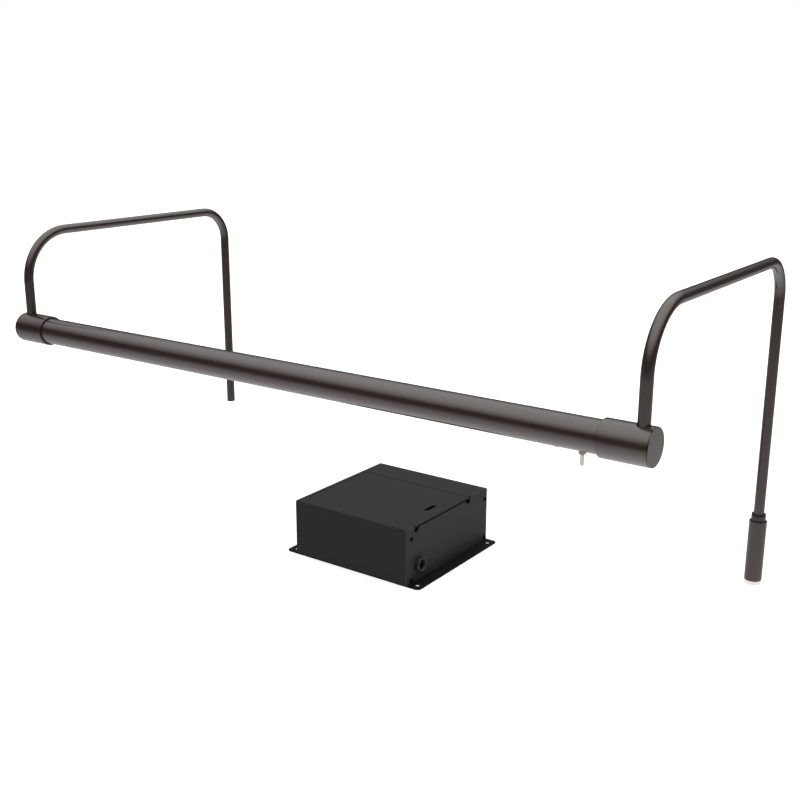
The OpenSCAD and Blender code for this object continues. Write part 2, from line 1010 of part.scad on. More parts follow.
module bushing_nut() {
    color(black)
        at_box()
            translate([inner_x - cord_nut_t, cord_y, cord_z])
                rotate([0, 90, 0])
                    difference() {
                        cylinder(h = cord_nut_t, d = cord_nut_across, $fn = 6);
                        translate([0, 0, -over])
                            cylinder(h = cord_nut_t + 2 * over, r = cord_thread_r + thread_gap);
                    }
}

// A bent sheet between the battery and the electronics
module bay_partition() {
    color("silver")
        at_box()
            translate([battery_x, 0, 0]) {
                translate([0, partition_y, sheet])
                    cube([battery[0], partition_t, battery[2] - pad_t]);
                translate([0, partition_y, sheet])
                    cube([battery[0], partition_foot, partition_t]);
            }
}

module battery_case() {
    color("dimgray")
        at_box()
            translate([battery_x, battery_y + cover_t, battery_z])
                cube([battery[0], battery[1] - cover_t, battery[2]]);
}

// The battery's terminal cover, stepped in from its case
module battery_cover() {
    color("gray")
        at_box()
            translate([battery_x + cover_step, battery_y, battery_z + cover_step])
                cube([battery[0] - 2 * cover_step, cover_t, battery[2] - 2 * cover_step]);
}

module battery_terminals() {
    color("silver")
        at_box()
            for (x = terminal_x)
                translate([battery_x + x - blade[0] / 2, battery_y - blade[1], terminal_z - blade[2] / 2])
                    cube(blade);
}

module battery_pads() {
    color("black")
        at_box()
            for (y = pad_y)
                translate([battery_x + pad_inset, battery_y + y, sheet])
                    cube([battery[0] - 2 * pad_inset, pad_w, pad_t]);
}

// Moves what is drawn around the middle of the driver board's top face to its place
module at_board() {
    at_box()
        translate([0, driver_y, driver_z + driver_size[2]])
            children();
}

module driver_board() {
    color("darkgreen")
        at_board()
            translate([0, 0, -driver_size[2]])
                linear_extrude(driver_size[2])
                    difference() {
                        square([driver_size[0], driver_size[1]], center = true);
                        for (x = [-1, 1], y = [-1, 1])
                            translate([x * standoff_x, y * standoff_y])
                                circle(screw_hole);
                    }
}

// Nylon pillars with a snap tip: the front pair stands on the base, the rear pair on the shell's foot
module board_standoffs() {
    tip_h = 1.6;
    color("ivory")
        at_board()
            for (x = [-1, 1], y = [-1, 1]) {
                stands_on = y > 0 ? 2 * sheet : sheet;
                translate([x * standoff_x, y * standoff_y, 0]) {
                    translate([0, 0, stands_on - driver_z - driver_size[2]])
                        cylinder(h = driver_z - stands_on, r = standoff_r);
                    translate([0, 0, -driver_size[2]])
                        cylinder(h = driver_size[2], r = screw_hole - close_gap);
                    cylinder(h = tip_h, r1 = 2.1, r2 = 1.2);
                }
            }
}

// Four clamps in a row, each with a screw on top and a wire hole facing right
module terminal_block() {
    color("limegreen")
        at_board()
            translate([block_x - block_size[0] / 2, -block_size[1] / 2, 0])
                difference() {
                    cube(block_size);
                    for (i = [0 : clamp_count - 1])
                        translate([0, clamp_first + clamp_pitch * i, 0]) {
                            translate([block_size[0] - 5, 0, terminal_z - driver_z - driver_size[2]])
                                rotate([0, 90, 0])
                                    cylinder(h = 5 + over, r = clamp_hole_r);
                            translate([4, 0, block_size[2] - 3])
                                cylinder(h = 3 + over, r = clamp_screw_r);
                        }
                }
}

module board_capacitors() {
    color("navy")
        at_board()
            for (x = [-8, 8])
                translate([x, 6, 0])
                    cylinder(h = 20, r = 6);
}

module board_choke() {
    color("darkgoldenrod")
        at_board()
            translate([choke_x, 0, 0])
                rotate_extrude()
                    translate([choke_hole, 0])
                        square(choke_ring);
}

module board_chips() {
    color(black)
        at_board()
            for (x = [-6, 10])
                translate([x, -12, 0])
                    cube([8, 10, 2]);
}

// Distance of a clamp from the box's middle
function clamp_y(i) = driver_y - block_size[1] / 2 + clamp_first + clamp_pitch * i;

// A battery lead in one level plane: out of its terminal, along the front channel,
// back past the battery's end and into the terminal block
module core_lead(start_x, front_y, lane_x, block_y) {
    r = core_bend;
    from_y = battery_y - blade[1];
    end_x = block_x + block_size[0] / 2;
    translate([start_x, from_y, 0])
        rotate([90, 0, 0])
            cylinder(h = from_y - front_y - r, r = core_r);
    translate([start_x + r, front_y + r, 0])
        quarter(r, core_r, 0, 180);
    translate([0, front_y, 0])
        bar_x(start_x + r, lane_x - r, core_r);
    translate([lane_x - r, front_y + r, 0])
        quarter(r, core_r, 0, 270);
    translate([lane_x, front_y + r, 0])
        rotate([-90, 0, 0])
            cylinder(h = block_y - front_y - 2 * r, r = core_r);
    translate([lane_x - r, block_y - r, 0])
        quarter(r, core_r, 0, 0);
    translate([0, block_y, 0])
        bar_x(end_x, lane_x - r, core_r);
}

module positive_lead() {
    color("red")
        at_box()
            translate([0, 0, terminal_z])
                core_lead(battery_x + terminal_x[1], battery_y - 12, lead_lane[0], clamp_y(1));
}

module negative_lead() {
    color(black)
        at_box()
            translate([0, 0, terminal_z])
                core_lead(battery_x + terminal_x[0], battery_y - 17, lead_lane[1], clamp_y(3));
}

left_arm();
right_arm();
left_end_sleeve();
right_end_sleeve();
left_end_disc();
right_end_disc();
arm_set_screws();
swivel_nipples();
nipple_nuts();
friction_washers();
friction_rings();
connector_collar();
connector_barrel();
connector_insert();
connector_pin();
arm_lead();
tube_housing();
left_tube_plug();
right_tube_plug();
led_carrier();
led_board();
led_chips();
diffuser_lens();
lens_clip();
lens_screw();
tube_wiring();
switch_body();
switch_terminals();
switch_bushing();
switch_nut();
switch_pivot();
switch_lever();
base_plate();
case_shell();
left_end_panel();
right_end_panel();
panel_screws();
shell_rivets();
lid_rails();
lid();
cable_bushing();
bushing_nut();
bay_partition();
battery_case();
battery_cover();
battery_terminals();
battery_pads();
driver_board();
board_standoffs();
terminal_block();
board_capacitors();
board_choke();
board_chips();
positive_lead();
negative_lead();
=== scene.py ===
"""Picture light: materials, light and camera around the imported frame."""

import json
import math

import bmesh
import bpy
from mathutils import Matrix, Vector


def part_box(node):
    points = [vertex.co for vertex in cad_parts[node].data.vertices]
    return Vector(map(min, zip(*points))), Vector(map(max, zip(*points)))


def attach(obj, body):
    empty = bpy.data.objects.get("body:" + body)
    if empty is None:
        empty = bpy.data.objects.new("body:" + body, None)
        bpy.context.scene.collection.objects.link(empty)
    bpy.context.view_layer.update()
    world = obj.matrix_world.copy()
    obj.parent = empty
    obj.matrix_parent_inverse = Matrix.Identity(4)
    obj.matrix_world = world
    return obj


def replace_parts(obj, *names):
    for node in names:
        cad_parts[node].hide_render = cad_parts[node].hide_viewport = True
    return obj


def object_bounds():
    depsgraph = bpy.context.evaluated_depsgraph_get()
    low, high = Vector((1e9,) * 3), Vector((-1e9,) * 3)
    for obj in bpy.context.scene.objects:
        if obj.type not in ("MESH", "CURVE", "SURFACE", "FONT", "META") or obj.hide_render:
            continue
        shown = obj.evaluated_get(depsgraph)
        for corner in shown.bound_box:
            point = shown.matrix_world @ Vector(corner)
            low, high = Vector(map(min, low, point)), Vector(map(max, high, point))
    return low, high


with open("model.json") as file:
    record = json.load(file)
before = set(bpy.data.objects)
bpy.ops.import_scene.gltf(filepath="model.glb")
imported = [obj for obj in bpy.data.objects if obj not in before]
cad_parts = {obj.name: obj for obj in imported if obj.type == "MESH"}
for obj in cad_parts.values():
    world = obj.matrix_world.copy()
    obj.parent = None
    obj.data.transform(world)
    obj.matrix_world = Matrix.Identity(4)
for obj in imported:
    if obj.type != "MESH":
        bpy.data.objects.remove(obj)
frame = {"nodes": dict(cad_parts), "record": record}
cad_low, cad_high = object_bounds()
nodes = frame["nodes"]
slot_of = {part["node"]: part["material_slot"] for part in frame["record"]["subparts"]}
scene = bpy.context.scene
MM = 0.001
FRONT_BEND = 65.5 * MM      # centre line radius of the arms' front bends
REAR_BEND = 45.5 * MM       # and of their rear bends
RIM_LIP = 1.0 * MM          # middle of the painted shade below the collar's top: a near-black band standing in for the dark reflection at its rim
RIM_FOOT = 0.3 * MM         # and of the one above its foot
RIM_HALF = 1.1 * MM         # half the height of either rim
BRUSHING = 0.02             # how little a brushed grain changes along its member
CORNER = math.radians(40)   # an edge that folds by more than this is sharp
QUARTER = math.pi / 2


# ---------------------------------------------------------------- shader helpers


class Shader:
    """A Principled material that is built up node by node."""

    def __init__(self, name, **values):
        self.material = bpy.data.materials.new(name)
        self.material.use_nodes = True
        self.tree = self.material.node_tree
        self.bsdf = self.tree.nodes["Principled BSDF"]
        for socket, value in values.items():
            self.bsdf.inputs[socket.replace("_", " ")].default_value = value
        self.place = self.node("ShaderNodeTexCoord").outputs["Object"]

    def node(self, kind, **values):
        made = self.tree.nodes.new(kind)
        for name, value in values.items():
            setattr(made, name, value)
        return made

    def link(self, source, target):
        self.tree.links.new(source, target)

    def feed(self, target, value):
        """Links a socket, or sets a plain value."""
        if isinstance(value, bpy.types.NodeSocket):
            self.link(value, target)
        else:
            target.default_value = value

    def math(self, operation, *values):
        made = self.node("ShaderNodeMath", operation=operation)
        for target, value in zip(made.inputs, values):
            self.feed(target, value)
        return made.outputs[0]

    def separated(self):
        """The X, Y and Z sockets of the place on the object."""
        made = self.node("ShaderNodeSeparateXYZ")
        self.link(self.place, made.inputs[0])
        return made.outputs

    def stretched(self, scale, place=None):
        """Coordinates multiplied by scale on each axis."""
        made = self.node("ShaderNodeMapping")
        self.link(place or self.place, made.inputs["Vector"])
        made.inputs["Scale"].default_value = scale
        return made.outputs["Vector"]

    def noise(self, size, detail=3.0, roughness=0.55, stretch=(1, 1, 1), place=None):
        """Noise from 0 to 1 whose features are about size metres across."""
        made = self.node("ShaderNodeTexNoise")
        made.inputs["Scale"].default_value = 1.0 / size
        made.inputs["Detail"].default_value = detail
        made.inputs["Roughness"].default_value = roughness
        self.link(self.stretched(stretch, place), made.inputs["Vector"])
        return made.outputs["Fac"]

    def between(self, value, low, high, from_low=0.0, from_high=1.0):
        """Maps from_low to from_high onto low to high."""
        made = self.node("ShaderNodeMapRange")
        self.link(value, made.inputs["Value"])
        made.inputs["From Min"].default_value = from_low
        made.inputs["From Max"].default_value = from_high
        made.inputs["To Min"].default_value = low
        made.inputs["To Max"].default_value = high
        return made.outputs["Result"]

    def blend(self, factor, first, second):
        made = self.node("ShaderNodeMix", data_type="RGBA")
        self.feed(made.inputs["Factor"], factor)
        self.feed(made.inputs["A"], first)
        self.feed(made.inputs["B"], second)
        return made.outputs["Result"]

    def bump(self, height, depth, strength, under=None):
        """Normal from a height of 0 to 1 over depth metres."""
        made = self.node("ShaderNodeBump")
        made.inputs["Strength"].default_value = strength
        made.inputs["Distance"].default_value = depth
        self.link(height, made.inputs["Height"])
        if under is not None:
            self.link(under, made.inputs["Normal"])
        return made.outputs["Normal"]

    def into(self, **sockets):
        for name, value in sockets.items():
            self.link(value, self.bsdf.inputs[name.replace("_", " ")])
        return self.material


def colour(r, g, b):
    return (r, g, b, 1.0)


def grey(level):
    return (level, level, level, 1.0)


# ---------------------------------------------------------------- materials


def arm_line(s):
    """How far a point lies from an arm's centre line in the arm's own plane, found from the arm's box."""
    low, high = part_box("left_arm")
    radius = (high.x - low.x) / 2
    middle = (low.y + high.y) / 2
    half = (high.y - low.y) / 2 - radius
    x, y, z = s.separated()
    in_front = s.math("LESS_THAN", y, middle)
    bend = s.math("ADD", REAR_BEND, s.math("MULTIPLY", in_front, FRONT_BEND - REAR_BEND))
    across = s.math("ADD", s.math("SUBTRACT", s.math("ABSOLUTE", s.math("SUBTRACT", y, middle)), half), bend)
    upward = s.math("ADD", s.math("SUBTRACT", z, high.z - radius), bend)
    inside = s.math("MINIMUM", s.math("MAXIMUM", across, upward), 0.0)
    round_part = s.math("SQRT", s.math(
        "ADD", s.math("POWER", s.math("MAXIMUM", across, 0.0), 2.0),
        s.math("POWER", s.math("MAXIMUM", upward, 0.0), 2.0)))
    offset = s.math("SUBTRACT", s.math("ADD", inside, round_part), bend)
    joined = s.node("ShaderNodeCombineXYZ")
    s.link(x, joined.inputs[0])
    s.link(offset, joined.inputs[1])
    s.link(s.math("MULTIPLY", s.math("SUBTRACT", y, z), BRUSHING), joined.inputs[2])
    return joined.outputs[0]


def bronze(name="bronze", lengthways=(BRUSHING, 1, 1), arm=False, rims=(), ior=1.89, tint=(1.0, 0.965, 0.93)):
    """Dark oil-rubbed bronze: a satin coat, brushed along the length, with two rims painted near-black as
    painted shade, or none.
    """
    s = Shader(name, IOR=ior, Specular_Tint=colour(*tint))
    if arm:
        along = {"place": arm_line(s)}
    else:
        along = {"stretch": lengthways}
    cloud = s.noise(45 * MM, detail=2.0)
    grain = s.noise(0.35 * MM, detail=2.0, roughness=0.7)
    speck = s.noise(1.1 * MM, detail=2.0, roughness=0.7)
    brush = s.noise(0.5 * MM, detail=4.0, roughness=0.65, **along)
    streak = s.noise(2.2 * MM, detail=2.0, roughness=0.6, **along)
    tone = s.blend(cloud, colour(0.0205, 0.0075, 0.0068), colour(0.0165, 0.0088, 0.0080))
    tone = s.blend(s.between(brush, 0.0, 0.5), tone, colour(0.028, 0.015, 0.013))
    tone = s.blend(s.between(speck, 0.0, 0.5, from_low=0.55, from_high=0.8), tone, colour(0.045, 0.020, 0.018))
    rough = s.math("ADD", s.between(brush, 0.17, 0.28), s.between(grain, -0.02, 0.02))
    rough = s.math("ADD", rough, s.between(streak, -0.04, 0.04))
    rough = s.math("ADD", rough, s.between(speck, -0.025, 0.025))
    # painted shade: each rim band gets a near-black colour and full roughness in place of the dark reflection
    # it shows
    if rims:
        height = s.separated()["Z"]
        dark = s.math("MAXIMUM", *(s.math("COMPARE", height, middle, RIM_HALF) for middle in rims))
        tone = s.blend(dark, tone, grey(0.002))
        rough = s.math("MAXIMUM", rough, dark)
    normal = s.bump(brush, 0.03 * MM, 0.15)
    normal = s.bump(grain, 0.02 * MM, 0.1, under=normal)
    return s.into(Base_Color=tone, Roughness=rough, Normal=normal)


def black_steel(name="black_steel", shade=1.0, ior=1.33):
    """Matte black powder coat with a fine orange peel."""
    s = Shader(name, IOR=ior)
    peel = s.noise(1.3 * MM, detail=2.0, roughness=0.5)
    grit = s.noise(0.35 * MM, detail=2.0, roughness=0.6)
    cloud = s.noise(60 * MM, detail=2.0)
    # shade scales the coat's tone: values other than 1 make lit or shaded copies, painted light and painted
    # shade
    tone = s.blend(cloud, grey(0.0125 * shade), grey(0.015 * shade))
    tone = s.blend(s.between(grit, 0.0, 0.6, from_low=0.4, from_high=0.8), tone, grey(0.021 * shade))
    rough = s.math("ADD", s.between(peel, 0.6, 0.72), s.between(cloud, -0.03, 0.03))
    normal = s.bump(peel, 0.12 * MM, 0.22)
    normal = s.bump(grit, 0.04 * MM, 0.25, under=normal)
    return s.into(Base_Color=tone, Roughness=rough, Normal=normal)


def plain(name, low, high, rough, size=2.0, grain=0.4, depth=0.03, metal=0.0, ior=1.5):
    """A moulded or plated finish: clouds from low to high, uneven gloss and a fine grain, in millimetres."""
    s = Shader(name, Metallic=metal, IOR=ior)
    cloud = s.noise(size * MM, detail=3.0)
    fine = s.noise(grain * MM, detail=2.0, roughness=0.6)
    tone = s.blend(cloud, colour(*low), colour(*high))
    gloss = s.math("ADD", s.between(cloud, rough - 0.06, rough + 0.06), s.between(fine, -0.03, 0.03))
    return s.into(Base_Color=tone, Roughness=gloss, Normal=s.bump(fine, depth * MM, 0.3))


def circuit_board():
    """Green solder mask over raised copper tracks, with bare solder pads between them."""
    s = Shader("board_green")
    tracks = s.node("ShaderNodeTexVoronoi", feature="DISTANCE_TO_EDGE")
    tracks.inputs["Scale"].default_value = 1 / (5 * MM)
    s.link(s.place, tracks.inputs["Vector"])
    pads = s.node("ShaderNodeTexVoronoi", distance="CHEBYCHEV")
    pads.inputs["Scale"].default_value = 1 / (4.2 * MM)
    pads.inputs["Randomness"].default_value = 0.35
    s.link(s.place, pads.inputs["Vector"])
    raised = s.between(tracks.outputs["Distance"], 1.0, 0.0, from_low=0.07, from_high=0.1)
    pad = s.between(pads.outputs["Distance"], 1.0, 0.0, from_low=0.16, from_high=0.18)
    tone = s.blend(s.noise(4 * MM), colour(0.008, 0.055, 0.024), colour(0.011, 0.075, 0.032))
    tone = s.blend(raised, tone, colour(0.016, 0.13, 0.05))
    tone = s.blend(pad, tone, colour(0.55, 0.56, 0.56))
    rough = s.math("ADD", s.between(raised, 0.32, 0.26), s.between(s.noise(0.4 * MM), -0.04, 0.04))
    return s.into(Base_Color=tone, Roughness=rough, Metallic=pad,
                  Normal=s.bump(s.math("MAXIMUM", raised, pad), 0.06 * MM, 0.6))


def bronze_with_painted_rim_shade():
    """Bronze whose rims at the collar's lip and at the barrel's top carry painted shade: near-black bands
    standing in for the dark reflection there.
    """
    low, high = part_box("connector_collar")
    rims = (high.z - RIM_LIP, low.z + RIM_FOOT)
    return bronze("bronze_upright_painted_rim_shade", lengthways=(1, 1, BRUSHING), rims=rims)


PLAIN_FINISHES = {
    "black_zinc": dict(low=(0.0015,) * 3, high=(0.003,) * 3, rough=0.5, size=1.5, ior=1.2),
    "brass": dict(low=(0.60, 0.42, 0.16), high=(0.72, 0.53, 0.24), rough=0.28, metal=1.0),
    "nylon": dict(low=(0.70, 0.67, 0.58), high=(0.80, 0.77, 0.69), rough=0.45),
    "white_plastic": dict(low=(0.80, 0.80, 0.78), high=(0.88, 0.88, 0.86), rough=0.35, size=4),
    "lever_plastic": dict(low=(0.54, 0.51, 0.42), high=(0.66, 0.62, 0.53), rough=0.4, size=3),
    "opal_plastic": dict(low=(0.78, 0.78, 0.76), high=(0.86, 0.86, 0.85), rough=0.5, size=8),
    "aluminium": dict(low=(0.62, 0.62, 0.63), high=(0.75, 0.75, 0.76), rough=0.35, metal=1.0),
    "board_white": dict(low=(0.74, 0.74, 0.72), high=(0.82, 0.82, 0.80), rough=0.4),
    "led_yellow": dict(low=(0.80, 0.58, 0.10), high=(0.88, 0.68, 0.20), rough=0.3, size=1),
    "black_plastic": dict(low=(0.013,) * 3, high=(0.020,) * 3, rough=0.42),
    "switch_blue": dict(low=(0.02, 0.06, 0.25), high=(0.03, 0.08, 0.32), rough=0.4),
    "steel": dict(low=(0.55, 0.55, 0.56), high=(0.68, 0.68, 0.68), rough=0.3, size=6, metal=1.0),
    "battery_grey": dict(low=(0.045,) * 3, high=(0.06,) * 3, rough=0.5, size=5, depth=0.08),
    "battery_black": dict(low=(0.012,) * 3, high=(0.02,) * 3, rough=0.45, size=5, depth=0.08),
    "foam": dict(low=(0.02,) * 3, high=(0.035,) * 3, rough=0.9, size=1, grain=0.8, depth=0.5),
    "block_green": dict(low=(0.04, 0.26, 0.08), high=(0.05, 0.32, 0.10), rough=0.4),
    "capacitor_blue": dict(low=(0.010, 0.015, 0.08), high=(0.014, 0.02, 0.11), rough=0.3),
    "copper": dict(low=(0.50, 0.20, 0.08), high=(0.62, 0.28, 0.12), rough=0.3, metal=1.0),
    "wire_black": dict(low=(0.015,) * 3, high=(0.022,) * 3, rough=0.5),
    "wire_red": dict(low=(0.32, 0.012, 0.010), high=(0.40, 0.02, 0.015), rough=0.45),
}
materials = {"bronze": bronze(), "black_steel": black_steel(), "board_green": circuit_board()}
for slot_name, finish in PLAIN_FINISHES.items():
    materials[slot_name] = plain(slot_name, **finish)
# nodes whose finish is apart from the rest of their slot: some are their own finish, some are lit or shaded
# copies that carry painted light or painted shade
own_finish_and_painted_light = {
    "left_arm": bronze("bronze_arm", arm=True, tint=(0.98, 0.97, 0.93)),
    # painted shade: a duller, redder copy of the bronze for the shade on the left sleeve
    "left_end_sleeve": bronze("bronze_sleeve_painted_shade", ior=1.74, tint=(1.0, 0.94, 0.90)),
    "connector_barrel": bronze_with_painted_rim_shade(),
    # painted shade: a darker, duller copy of the powder coat for the shade on the base flange
    "base_plate": black_steel("black_steel_base_painted_shade", shade=0.35, ior=1.24),
    # painted light: a lighter copy of the powder coat for the light falling on the right end panel
    "right_end_panel": black_steel("black_steel_panel_painted_light", shade=1.9),
    "switch_nut": plain("nut_bronze", (0.26, 0.215, 0.18), (0.36, 0.31, 0.27), 0.36, size=1.5, metal=0.3),
}
own_finish_and_painted_light["right_arm"] = own_finish_and_painted_light["left_arm"]
own_finish_and_painted_light["connector_collar"] = own_finish_and_painted_light["connector_barrel"]
for name, node in nodes.items():
    node.data.materials.clear()
    node.data.materials.append(own_finish_and_painted_light.get(name) or materials[slot_of[name]])


# ---------------------------------------------------------------- softened edges


def bevel(item, width, segments):
    """Rounds the sharp edges and keeps the flat faces looking flat."""
    edge = item.modifiers.new("edge", "BEVEL")
    edge.width = width
    edge.segments = segments
    edge.limit_method = "ANGLE"
    edge.angle_limit = CORNER
    item.modifiers.new("shade", "WEIGHTED_NORMAL").keep_sharp = True


def soften(node, width):
    """Rounds a CAD node's sharp edges a little, as a real tool or paint leaves them."""
    node.modifiers.new("weld", "WELD").merge_threshold = 0.001 * MM
    flat = node.modifiers.new("flat", "DECIMATE")
    flat.decimate_type = "DISSOLVE"
    flat.angle_limit = math.radians(1)
    bevel(node, width, segments=2)


for name in ("lid", "right_end_panel", "left_end_panel", "base_plate", "case_shell"):
    soften(nodes[name], 0.25 * MM)
soften(nodes["switch_nut"], 0.2 * MM)
soften(nodes["terminal_block"], 0.3 * MM)


# ---------------------------------------------------------------- pieces made in mesh code


def circle(radius, height, steps):
    """Points around the Z axis at a height."""
    turns = [2 * math.pi * i / steps for i in range(steps)]
    return [Vector((radius * math.cos(a), radius * math.sin(a), height)) for a in turns]


def turned(bm, place, profile, steps, ring=False):
    """A turned solid about place's Z axis from (radius, height) pairs: axis to axis, or a closed ring."""
    rows = []
    for radius, height in profile:
        spots = circle(radius, height, steps if radius > 0 else 1)
        rows.append([bm.verts.new(place @ spot) for spot in spots])
    pairs = list(zip(rows, rows[1:]))
    if ring:
        pairs.append((rows[-1], rows[0]))
    for one, two in pairs:
        for i in range(steps):
            j = (i + 1) % steps
            if len(one) == 1:
                bm.faces.new((one[0], two[i], two[j]))
            elif len(two) == 1:
                bm.faces.new((one[i], two[0], one[j]))
            else:
                bm.faces.new((one[i], two[i], two[j], one[j]))


def block(bm, low, high, taper=0.0):
    """A box between two corners whose top is drawn in by taper on each side."""
    corners = []
    for z, draw in ((low[2], 0.0), (high[2], taper)):
        for x, y in ((low[0] + draw, low[1] + draw), (high[0] - draw, low[1] + draw),
                     (high[0] - draw, high[1] - draw), (low[0] + draw, high[1] - draw)):
            corners.append(bm.verts.new((x, y, z)))
    for loop in ((0, 1, 2, 3), (4, 5, 6, 7), (0, 1, 5, 4), (1, 2, 6, 5), (2, 3, 7, 6), (3, 0, 4, 7)):
        bm.faces.new([corners[i] for i in loop])


def piece(name, bm, node, finish=None, round_edges=0.0):
    """Turns a finished bmesh into an object with a CAD node's finish that rides on the frame."""
    bmesh.ops.recalc_face_normals(bm, faces=bm.faces)
    mesh = bpy.data.meshes.new(name)
    bm.to_mesh(mesh)
    bm.free()
    made = bpy.data.objects.new(name, mesh)
    scene.collection.objects.link(made)
    mesh.materials.append(finish or materials[slot_of[node]])
    mesh.shade_smooth()
    mesh.set_sharp_from_angle(angle=CORNER)
    if round_edges:
        bevel(made, round_edges, segments=3)
    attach(made, "frame")
    return made


def cross_screw(bm, place, head_r, head_h, shank_r, shank_length):
    """A domed screw with a cross recess: its head stands on place's XY plane."""
    cross_r, cross_half, cross_floor = 0.58 * head_r, 0.13 * head_r, 0.42 * head_h
    rim_h = 0.3 * head_h
    dome_drop, dome_power = 0.62, 2.4
    outline = []
    for quarters in range(4):
        turn = Matrix.Rotation(quarters * QUARTER, 4, "Z")
        for x, y in ((cross_half, -cross_half), (cross_r, -cross_half), (cross_r, cross_half)):
            outline.append((turn @ Vector((x, y, 0))).xy)

    def dome(radius):
        return head_h * (1 - dome_drop * (radius / head_r) ** dome_power)

    def loop(points):
        spots = [bm.verts.new(place @ Vector(p)) for p in points]
        return spots, [bm.edges.new((a, b)) for a, b in zip(spots, spots[1:] + spots[:1])]

    floor_spots, floor_edges = loop([(p.x, p.y, cross_floor) for p in outline])
    bm.faces.new(floor_spots)
    last = loop([(p.x, p.y, dome(p.length)) for p in outline])[1]
    bmesh.ops.bridge_loops(bm, edges=floor_edges + last)
    profile = [(share * head_r, dome(share * head_r)) for share in (0.68, 0.78, 0.87, 0.94)]
    profile += [(head_r, rim_h), (head_r, 0.0), (shank_r, 0.0), (shank_r, -shank_length)]
    for radius, height in profile:
        spots, edges = loop(circle(radius, height, steps=32))
        bmesh.ops.bridge_loops(bm, edges=last + edges)
        last = edges
    bm.faces.new(spots)


def panel_screws():
    """The eight screws of the end panels."""
    low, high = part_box("panel_screws")
    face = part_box("right_end_panel")[1].x
    head_h = high.x - face
    head_r, shank_r, shank_length = 2.8 * MM, 1.45 * MM, 7 * MM
    bm = bmesh.new()
    for end, x in ((1, face), (-1, low.x + head_h)):
        for y in (low.y + head_r, high.y - head_r):
            for z in (low.z + head_r, high.z - head_r):
                driven = y * 40 + z * 90    # radians: each cross came to rest at an angle of its own
                place = Matrix.Translation((x, y, z)) @ Matrix.Rotation(end * QUARTER, 4, "Y")
                place = place @ Matrix.Rotation(driven, 4, "Z")
                cross_screw(bm, place, head_r, head_h, shank_r, shank_length)
    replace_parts(piece("panel_screw_set", bm, "panel_screws"), "panel_screws")


def cable_bushing():
    """The cord's bushing with a rounded flange and a step inside its mouth."""
    low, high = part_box("cable_bushing")
    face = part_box("right_end_panel")[1].x
    middle = (low + high) / 2
    place = Matrix.Translation((0, middle.y, middle.z)) @ Matrix.Rotation(QUARTER, 4, "Y")
    hole, thread, rim = 6.25 * MM, 7.95 * MM, 9.5 * MM
    lead_r, lead_x = 0.4 * MM, 0.5 * MM
    soft, soft_steps = 1.3 * MM, 5
    mouth = [(1.5, 0.0), (1.1, 0.3), (0.9, 0.9), (0.0, 1.6)]    # mm wider than the hole, mm below the top
    profile = [(hole, low.x), (thread - lead_r, low.x), (thread, low.x + lead_x), (thread, face), (rim, face)]
    for step in range(soft_steps + 1):
        turn = step / soft_steps * QUARTER
        profile.append((rim - soft * (1 - math.cos(turn)), high.x - soft * (1 - math.sin(turn))))
    profile += [(hole + wider * MM, high.x - below * MM) for wider, below in mouth]
    bm = bmesh.new()
    turned(bm, place, profile, steps=48, ring=True)
    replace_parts(piece("cord_bushing", bm, "cable_bushing"), "cable_bushing")


def capacitors():
    """Two electrolytic capacitors with a crimped foot, a rolled edge and a scored, sunk top."""
    low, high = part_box("board_capacitors")
    radius = (high.y - low.y) / 2
    tall = high.z - low.z
    # shares of the radius, with mm above the board for the foot and mm below the top for the rest
    foot = [(0, 0), (0.88, 0), (0.97, 0.5), (0.97, 1.6), (0.88, 2.1), (0.88, 2.5), (0.98, 3.1), (1, 3.6)]
    top = [(1, 0.9), (0.97, 0.3), (0.9, 0), (0.8, 0), (0.76, 0.3), (0, 0.35)]
    profile = [(share * radius, above * MM) for share, above in foot]
    profile += [(share * radius, tall - below * MM) for share, below in top]
    score_sunk, score_length, score_wide, score_tall = 0.42 * MM, radius, 0.5 * MM, 0.3 * MM
    score_turn = 0.4
    bm = bmesh.new()
    for x in (low.x + radius, high.x - radius):
        turned(bm, Matrix.Translation((x, low.y + radius, low.z)), profile, steps=40)
        for turn in (score_turn, score_turn + QUARTER):
            score = Matrix.Translation((x, low.y + radius, high.z - score_sunk))
            score = score @ Matrix.Rotation(turn, 4, "Z")
            before = set(bm.verts)
            block(bm, (-score_length / 2, -score_wide / 2, 0), (score_length / 2, score_wide / 2, score_tall),
                  taper=0.08 * MM)
            for vertex in set(bm.verts) - before:
                vertex.co = score @ vertex.co
    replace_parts(piece("capacitor_pair", bm, "board_capacitors"), "board_capacitors")


def choke_path(outer, inner, tall, wire):
    """The winding's centre line: turns of a squarish loop along most of the ring."""
    turns, points = 24, 16
    wound = 2 * math.pi * 0.9
    squareness = 0.45
    half_w, half_h = (outer - inner) / 2 - wire, tall / 2 - wire
    path = []
    for i in range(turns * points + 1):
        around = 2 * math.pi * i / points
        along = wound * i / (turns * points)
        c, s = math.cos(around), math.sin(around)
        across = math.copysign(abs(c) ** squareness, c) * half_w
        up = math.copysign(abs(s) ** squareness, s) * half_h
        radius = (outer + inner) / 2 + across
        path.append(Vector((radius * math.cos(along), radius * math.sin(along), tall / 2 + up)))
    return path


def wire_along(bm, path, radius, sides=6):
    """A round wire with closed ends around a path, without twist."""
    last = side = None
    for i, spot in enumerate(path):
        ahead = (path[min(i + 1, len(path) - 1)] - path[max(i - 1, 0)]).normalized()
        if side is None:
            side = ahead.orthogonal().normalized()
        else:
            side = (side - ahead * side.dot(ahead)).normalized()
        other = ahead.cross(side)
        turns = [2 * math.pi * k / sides for k in range(sides)]
        ring = [bm.verts.new(spot + radius * (math.cos(a) * side + math.sin(a) * other)) for a in turns]
        if last is None:
            bm.faces.new(ring)
        else:
            for k in range(sides):
                after = (k + 1) % sides
                bm.faces.new((last[k], last[after], ring[after], ring[k]))
        last = ring
    bm.faces.new(last)


